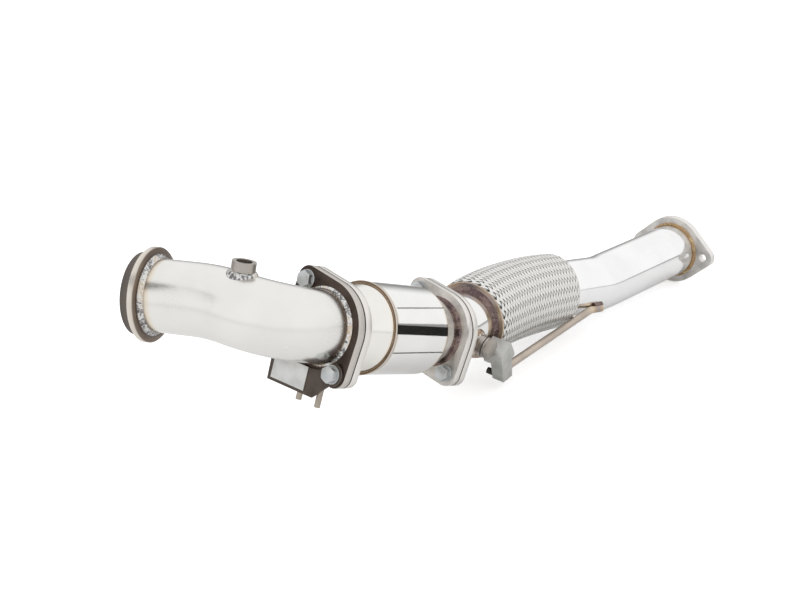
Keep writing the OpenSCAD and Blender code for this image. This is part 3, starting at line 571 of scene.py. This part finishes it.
def ring_weld(name, station, start, side, material, leg=3.3):
    """A fillet bead on a tube, from the face at start towards the given side."""
    shape = bmesh.new()
    arch = [(start, TUBE_R), (start, TUBE_R + leg)]
    arch += [
        (start + side * leg * (1 - math.cos(a) * 0.94), TUBE_R + leg * (1 - math.sin(a) * 0.94)) for a in ARCH
    ]
    arch += [(start + side * leg, TUBE_R)]
    profile_ring(shape, arch, RIPPLES * 6)
    for point in shape.verts:
        along, radius, angle = point.co.x, point.co.yz.length, math.atan2(point.co.z, point.co.y)
        across = (radius - TUBE_R) / leg
        if 0.04 < across < 0.97 or 0.04 < abs(along - start) / leg < 0.97:
            push = RIPPLE_DEPTH * (ripple(angle, across, start) - 0.35)
            point.co.x += side * push * 0.6
            point.co.yz *= 1 + push * 0.6 / radius
    return piece(name + "_bead", shape, station, material, "weld_steel", name, sharp=60)


ring_weld("inlet_weld", inlet, INLET_L, 1, bright_weld, 4.2)
ring_weld("dump_flange_weld", front_joint, 0, -1, bright_weld)
ring_weld("cat_inlet_weld", front_joint, JOINT_L, 1, gold_weld)
ring_weld("cat_outlet_weld", rear_joint, 0, -1, purple_weld)
ring_weld("stub_weld", rear_joint, JOINT_L, 1, gold_weld)
ring_weld("flex_front_weld", flex, -COLLAR_LIP, -1, purple_weld, 5.6)
ring_weld("flex_rear_weld", flex_end, COLLAR_LIP, 1, gold_weld)
ring_weld("outlet_weld", outlet, 0, -1, outlet_bead)

# %% [markdown]
# ## The braid of the flex joint
# Flat bundles of wire run round the joint both ways and pass one over and one under each other. Where one
# hand lies on top it shows as a short slanting bar, and the bars of the two hands stand in columns along
# the barrel. One bundle starts as a flat grid. Each of its points is laid on the curved, swollen barrel,
# and lifted or lowered where it crosses the others. The loops open a little near the front collar.

# %% Weave the braid
BUNDLES = 24
BRAID_R = 48.85
BRAID_TURNS = 1.25
BUNDLE_W = 5.0
LIFT, CROWN, SWELL = 0.4, 0.35, 1.8
ROWS_PER_CROSSING = 5
OPENING, OPENING_REACH = 0.033, 0.06


def on_barrel(share, radius, angle):
    """A point of the flex joint, at a share of its length."""
    along = math.radians(FLEX_ANGLE) * share
    reach = FLEX_R - radius * math.cos(angle)
    return Vector((reach * math.sin(along), FLEX_R - reach * math.cos(along), radius * math.sin(angle)))


def swell(share):
    """How far the barrel stands out at a share of its length."""
    return SWELL * (1 - abs(2 * share - 1) ** 4)


def wound(share):
    """The share of the turns that is wound up to a share of the length, and its slope."""
    fade = math.exp(-share / OPENING_REACH)
    return share - OPENING * (1 - fade), 1 - OPENING / OPENING_REACH * fade


def lay_bundles(hand):
    """All the bundles of one hand: 1 winds one way round the barrel and -1 the other."""
    shape = bmesh.new()
    wires = shape.loops.layers.uv.new("wires")
    crossings = 2 * BUNDLES * BRAID_TURNS
    rows = int(crossings * ROWS_PER_CROSSING)
    for k in range(BUNDLES):
        before = set(shape.verts)
        bmesh.ops.create_grid(shape, x_segments=rows, y_segments=4, size=1.0)
        strip = [v for v in shape.verts if v not in before]
        for face in {f for v in strip for f in v.link_faces}:
            for loop in face.loops:
                loop[wires].uv = (loop.vert.co.x * rows / 2, loop.vert.co.y * 0.5 + 0.5)
        for point in strip:
            share, side = point.co.x * 0.5 + 0.5, point.co.y
            turns, slope = wound(share)
            steep = math.hypot(1, math.tau * BRAID_TURNS * BRAID_R * slope / FLEX_L)
            across = side * BUNDLE_W / 2 * steep / BRAID_R
            start = math.tau * (k + 0.5 * (hand < 0)) / BUNDLES
            crossing = crossings * turns + hand * BUNDLES * across / math.tau
            lift = hand * LIFT * max(-1, min(1, 1.6 * math.sin(math.pi * crossing)))
            crown = CROWN * (1 - side * side)
            radius = BRAID_R + swell(share) + lift + crown
            point.co = on_barrel(share, radius, start + hand * math.tau * BRAID_TURNS * turns + across)
    return shape


made = Finish("braid_wire", srgb(236, 235, 232), 0.6, 0.3)
lay = made.node("ShaderNodeUVMap", {"uv_map": "wires"}, {})
across = made.node("ShaderNodeSeparateXYZ", {}, {0: lay}, "Y")
# The base colour is painted shade: a little darker in the grooves between wires, and much darker at each
# bundle's edges for the shaded gaps between bundles.
wire = (across * math.tau * 6).math("COSINE") * 0.5 + 0.5
edge = (across - 0.5).math("ABSOLUTE").rise(0.38, 0.47)
made.feed("Base Color", made.mix(wire * 0.1 + edge * 0.9, srgb(240, 239, 236), srgb(70, 67, 64)))
made.feed("Roughness", 0.22 + wire * 0.1 + made.grain(120, 3) * 0.1)
made.bump(1 - wire, 0.1, 0.5)
braid_wire = made.material
piece("braid_hand_left", lay_bundles(1), flex, braid_wire, "braid_steel", "flex_braid")
piece("braid_hand_right", lay_bundles(-1), flex, braid_wire, "braid_steel")

# %% [markdown]
# ## Bolts, nuts and washers
# A hexagon head is turned first and then cut: its corners are rounded by the cone of the turning, and each
# flat meets that cone in an arc. The same order works here. A profile is spun, and six planes cut the
# flats. Nuts are made the same way with a hole, and a thread is a small ridge spun along a helix.

# %% Cut hexagons from turned blanks
BOLT_AF, HEAD_H, NUT_H, WASHER_T = 16.0, 6.4, 8.0, 2.0
BOLT_CLOCK, BOLT_REACH, SHANK_R = 52.5, 52.5, 4.55
WASHER_R, WASHER_HOLE_R, NUT_HOLE_R, BRACKET_T = 10, 5.3, 5.05, 3.0
PAST_NUT, THREAD_TURNS = 3, 9


def cut_flats(shape, across_flats):
    """Cuts six flats round a turned blank and fills them."""
    for k in range(6):
        way = Vector((0, math.cos(math.radians(60 * k)), math.sin(math.radians(60 * k))))
        cut = bmesh.ops.bisect_plane(
            shape, geom=shape.verts[:] + shape.edges[:] + shape.faces[:], dist=1e-5,
            plane_co=way * across_flats / 2, plane_no=way, clear_outer=True,
        )
        rim = [e for e in cut["geom_cut"] if isinstance(e, bmesh.types.BMEdge)]
        bmesh.ops.edgenet_fill(shape, edges=rim)


def hexagon(shape, start, height, bore, both_ends):
    """A chamfered hexagon from start along the pipe; bore 0 leaves it solid."""
    corner, face = BOLT_AF / math.sqrt(3), BOLT_AF / 2 * 0.95
    slope = 0.55 * (corner - face)
    profile = [
        (start + height, bore), (start + height, corner), (start + slope, corner), (start, face), (start, bore),
    ]
    if both_ends:
        profile[1:2] = [(start + height, face), (start + height - slope, corner)]
    turned_part = bmesh.new()
    profile_ring(turned_part, profile, 72, closed=bore > 0)
    cut_flats(turned_part, BOLT_AF)
    mesh = bpy.data.meshes.new("blank")
    turned_part.to_mesh(mesh)
    turned_part.free()
    shape.from_mesh(mesh)
    bpy.data.meshes.remove(mesh)


def rod(shape, start, length, radius, chamfer):
    """A round bar with chamfered ends."""
    profile = [
        (start, 0), (start, radius - chamfer), (start + chamfer, radius), (start + length - chamfer, radius),
        (start + length, radius - chamfer), (start + length, 0),
    ]
    profile_ring(shape, profile, 40, closed=False)


def thread(shape, start, turns, radius, pitch=1.5):
    """A ridge that climbs along a helix."""
    section = ((-0.55, radius - 0.1), (0, radius + 0.42), (0.55, radius - 0.1))
    ridge = [shape.verts.new((start + x, r, 0)) for x, r in section]
    edges = [shape.edges.new(pair) for pair in zip(ridge, ridge[1:])]
    steps = turns * 24
    bmesh.ops.spin(
        shape, geom=ridge + edges, cent=(0, 0, 0), axis=(1, 0, 0), dvec=(pitch / 24, 0, 0),
        angle=math.tau * turns, steps=steps, use_duplicate=False,
    )


def fasten(joint, end, side, under):
    """One bolt with its washer and nut: end is front or rear, and under is what lies below the washer."""
    word = "upper" if side > 0 else "lower"
    station = joint @ turned(BOLT_CLOCK) @ ahead(0, side * BOLT_REACH)
    shape = bmesh.new()
    seat = -under - WASHER_T
    hexagon(shape, seat - HEAD_H, HEAD_H, 0, False)
    rod(shape, seat - 0.5, -seat + 0.5 + JOINT_L + NUT_H + PAST_NUT, SHANK_R, 0.8)
    thread(shape, JOINT_L - 4, THREAD_TURNS, SHANK_R)
    piece(f"{end}_bolt_{word}_turned", shape, station, zinc, "zinc", f"{end}_bolt_{word}")
    shape = bmesh.new()
    washer = [
        (seat, WASHER_HOLE_R), (seat, WASHER_R - 0.3), (seat + 0.3, WASHER_R), (-under, WASHER_R),
        (-under, WASHER_HOLE_R),
    ]
    profile_ring(shape, washer, 56)
    piece(f"{end}_washer_{word}_pressed", shape, station, zinc, "zinc", f"{end}_washer_{word}")
    shape = bmesh.new()
    hexagon(shape, JOINT_L, NUT_H, NUT_HOLE_R, True)
    piece(f"{end}_nut_{word}_turned", shape, station, zinc, "zinc", f"{end}_nut_{word}")


for joint, end in ((front_joint, "front"), (rear_joint, "rear")):
    for side in (1, -1):
        fasten(joint, end, side, BRACKET_T if (end, side) == ("front", -1) else 0.0)

# %% [markdown]
# ## Soft edges on the cut parts
# Plate, sheet and blocks never have perfectly sharp edges, and the thin highlights there tell the eye that
# the part is metal. A copy of each CAD node is merged, its coplanar triangles are joined, and a small bevel
# goes round every sharp edge.

# %% Soften plates and blocks
def softened(node, width_mm, material, slot, segments=2):
    """A copy of a CAD node with a small bevel round its sharp edges."""
    shape = bmesh.new()
    shape.from_mesh(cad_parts[node].data)
    bmesh.ops.remove_doubles(shape, verts=shape.verts, dist=2e-6)
    bmesh.ops.dissolve_limit(shape, angle_limit=math.radians(1.0), verts=shape.verts, edges=shape.edges)
    sharp = [e for e in shape.edges if len(e.link_faces) == 2 and e.calc_face_angle(0) > math.radians(35)]
    bmesh.ops.bevel(
        shape, geom=sharp, offset=width_mm * 0.001, offset_type="OFFSET", affect="EDGES", segments=segments,
        profile=0.5, material=-1, clamp_overlap=True,
    )
    bmesh.ops.transform(shape, matrix=MM.inverted(), verts=shape.verts)
    return piece(node + "_soft", shape, AT_ROW, material, slot, node, sharp=50)


softened("dump_flange", 0.5, dark_flange, "dark_steel")
softened("cat_inlet_flange", 0.5, bright_flange, "flange_steel")
softened("cat_outlet_flange", 0.5, bright_flange, "flange_steel")
softened("stub_flange", 0.5, bright_flange, "flange_steel")
softened("outlet_flange", 0.5, outlet_plate, "flange_steel")
softened("support_bracket", 0.4, bracket_steel, "dark_steel")
softened("blank_plate", 0.15, blank_metal, "plate_metal")
softened("hanger_block", 0.7, blasted, "blasted_steel", 3)

# %% [markdown]
# ## The other CAD nodes
# The turned and bent parts keep their CAD shape, so only their finish is new. A table says which finish
# goes on which node.

# %% Dress the CAD nodes
dress = {
    "inlet_flange": inlet_steel, "front_bung": bung_steel, "front_bung_weld": bright_weld,
    "front_gasket": gasket_sheet, "rear_gasket": gasket_sheet, "cat_inlet_cone": inlet_cone_steel,
    "cat_front_seam": seam_metal, "cat_shell": body_steel, "catalyst_mat": mat_fibre,
    "catalyst_core": core_ceramic, "cat_rear_seam": gold_weld, "cat_outlet_cone": outlet_cone_steel,
    "rear_bung": bung_steel, "rear_bung_weld": gold_weld, "plug_washer": gasket_sheet, "bung_plug": bung_steel,
    "flex_front_collar": collar_steel, "flex_rear_collar": collar_steel, "flex_bellows": bellows_steel,
    "flex_liner": bellows_steel, "hanger_rod": rod_steel, "hanger_weld": purple_weld,
    "hanger_stud": black_oxide, "bracket_stud_left": copper_stud, "bracket_stud_right": copper_stud,
}
for node, material in dress.items():
    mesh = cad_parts[node].data
    mesh.materials.clear()
    mesh.materials.append(material)
print("dressed", len(dress), "CAD nodes")

# %% [markdown]
# ## The studio
# Polished steel shows whatever stands round it, so the studio decides its looks. The camera sees a white
# floor and a white world. A reflection sees a pale floor that darkens far behind the part, and a world that
# darkens towards the camera's own heading, so each pipe gets a thin dark outline where it curves away.

# %% Build the floor and the world
CAMERA_WAY = camera.rotation_quaternion @ Vector((0, 0, -1))

made = Finish("floor_white", (0.9, 0.9, 0.9), 0.0, 0.9)
camera_ray = made.node("ShaderNodeLightPath", {}, {}, "Is Camera Ray")
glossy_ray = made.node("ShaderNodeLightPath", {}, {}, "Is Glossy Ray")
behind = made.node("ShaderNodeSeparateXYZ", {}, {0: made.surface}, "Y").rise(0.7, 1.4)
made.feed("Base Color", made.mix(glossy_ray * behind, (0.9, 0.9, 0.9), (0.3, 0.3, 0.3)))
made.shader.inputs["Emission Color"].default_value = (1, 1, 1, 1)
made.feed("Emission Strength", camera_ray * 0.5)
floor_white = made.material

shape = bmesh.new()
bmesh.ops.create_grid(shape, x_segments=2, y_segments=2, size=6.0)
mesh = bpy.data.meshes.new("floor")
shape.to_mesh(mesh)
shape.free()
mesh.transform(Matrix.Translation((0.3, 0.3, min(cad_box[0][2], cad_box[1][2]) - 0.001)))
mesh.materials.append(floor_white)
floor = bpy.data.objects.new("floor", mesh)
bpy.context.scene.collection.objects.link(floor)

world = bpy.data.worlds.new("studio")
bpy.context.scene.world = world
world.use_nodes = True
tree = world.node_tree


def world_node(kind, settings, *values):
    """A node of the world, with its first sockets set or linked in order."""
    made_node = tree.nodes.new(kind)
    for key, value in settings.items():
        setattr(made_node, key, value)
    for socket, value in zip(made_node.inputs, values):
        if isinstance(value, bpy.types.NodeSocket):
            tree.links.new(value, socket)
        else:
            socket.default_value = value
    return made_node


sky = tree.nodes["Background"]
path = tree.nodes.new("ShaderNodeLightPath")
way = tree.nodes.new("ShaderNodeTexCoord").outputs["Generated"]
heading = world_node("ShaderNodeVectorMath", {"operation": "DOT_PRODUCT"}, way, CAMERA_WAY).outputs["Value"]
DIFFUSE_GLOW, OPEN_GLOW, HEADING_GLOW = 0.8, 1.0, 0.2
open_edge, heading_edge = (math.cos(math.radians(angle)) for angle in (42, 6))
glow = world_node(
    "ShaderNodeMapRange", {"interpolation_type": "SMOOTHSTEP"},
    heading, open_edge, heading_edge, OPEN_GLOW - DIFFUSE_GLOW, HEADING_GLOW - DIFFUSE_GLOW,
).outputs[0]
glossy, to_camera = path.outputs["Is Glossy Ray"], path.outputs["Is Camera Ray"]
other_rays = world_node("ShaderNodeMath", {"operation": "MULTIPLY_ADD"}, glow, glossy, DIFFUSE_GLOW).outputs[0]
strength = world_node("ShaderNodeMath", {"operation": "MAXIMUM"}, other_rays, to_camera).outputs[0]
sky.inputs["Color"].default_value = (1, 1, 1, 1)
tree.links.new(strength, sky.inputs["Strength"])
print("the camera heads towards", [round(v, 2) for v in CAMERA_WAY])

# %% [markdown]
# ## Cards for the reflections
# The sharp black bar on the converter is a card beside the part. Its place follows from the mirror law: the
# camera's ray meets the body at a place along it and at a clock angle round it, and goes on to the card.
# The thin lines above and below the bar and the dark wedge on the dump pipe are cards too. Only
# reflections see them.

# %% Hang the cards
BODY_CARD_REACH, INLET_CARD_REACH = 88, 110


def mirror_card(name, station, radius, start, end, widths, reach, grey):
    """A card seen in a round body: start and end are (along, clock angle), and widths are in degrees."""
    shape = bmesh.new()
    (a0, c0), (a1, c1) = start, end
    w0, w1 = widths[0] / 2, widths[1] / 2
    corners = []
    for along, clock in ((a0, c0 - w0), (a1, c1 - w1), (a1, c1 + w1), (a0, c0 + w0)):
        spot = station @ turned(clock)
        place, normal = spot @ Vector((along, radius, 0)), spot.to_3x3() @ Vector((0, 1, 0))
        onward = (place - CAMERA_PLACE).normalized().reflect(normal)
        corners.append(shape.verts.new((place + onward * reach) * 0.001))
    shape.faces.new(corners)
    mesh = bpy.data.meshes.new(name)
    shape.to_mesh(mesh)
    shape.free()
    mesh.materials.append(Finish(name, (grey,) * 3, 0.0, 0.9).material)
    card = bpy.data.objects.new(name, mesh)
    card.visible_camera = card.visible_diffuse = card.visible_transmission = card.visible_shadow = False
    bpy.context.scene.collection.objects.link(card)


mirror_card("bar_card", front_joint, CAT_R, (60, 165.9), (164, 166.0), (11.2, 11.6), BODY_CARD_REACH, 0.01)
mirror_card("upper_line_card", front_joint, CAT_R, (68, 139.2), (157, 134.6), (1.4, 1.4), BODY_CARD_REACH, 0.05)
mirror_card("lower_line_card", front_joint, CAT_R, (66, 195.5), (157, 193.1), (1.6, 1.6), BODY_CARD_REACH, 0.05)
mirror_card("inlet_card", inlet, TUBE_R, (18, 145), (54, 139.5), (15, 2), INLET_CARD_REACH, 0.03)
print("four cards hang beside the part")

# %% [markdown]
# ## Lamps
# Two large soft lamps stand high on the left and on the right. Reflections don't show them.

# %% Set the lamps
LAMP_AIM = Vector((0.25, 0.3, -0.08))


def lamp(name, place, size, power):
    """A rectangular area lamp that faces the part."""
    light = bpy.data.lights.new(name, "AREA")
    light.shape, light.size, light.size_y, light.energy = "RECTANGLE", size[0], size[1], power
    made = bpy.data.objects.new(name, light)
    made.location = place
    made.rotation_mode = "QUATERNION"
    made.rotation_quaternion = (LAMP_AIM - Vector(place)).to_track_quat("-Z", "Y")
    made.visible_glossy = False
    bpy.context.scene.collection.objects.link(made)


lamp("key", (-0.6, -0.9, 1.5), (1.2, 0.8), 9)
lamp("fill", (1.8, -0.4, 1.2), (1.0, 1.0), 5)
bpy.context.scene.view_settings.view_transform = "Standard"
print("studio ready")

# %% [markdown]
# ## A last update
# The visual model must stay inside the CAD model's box.

# %% Update the scene
bpy.context.view_layer.update()
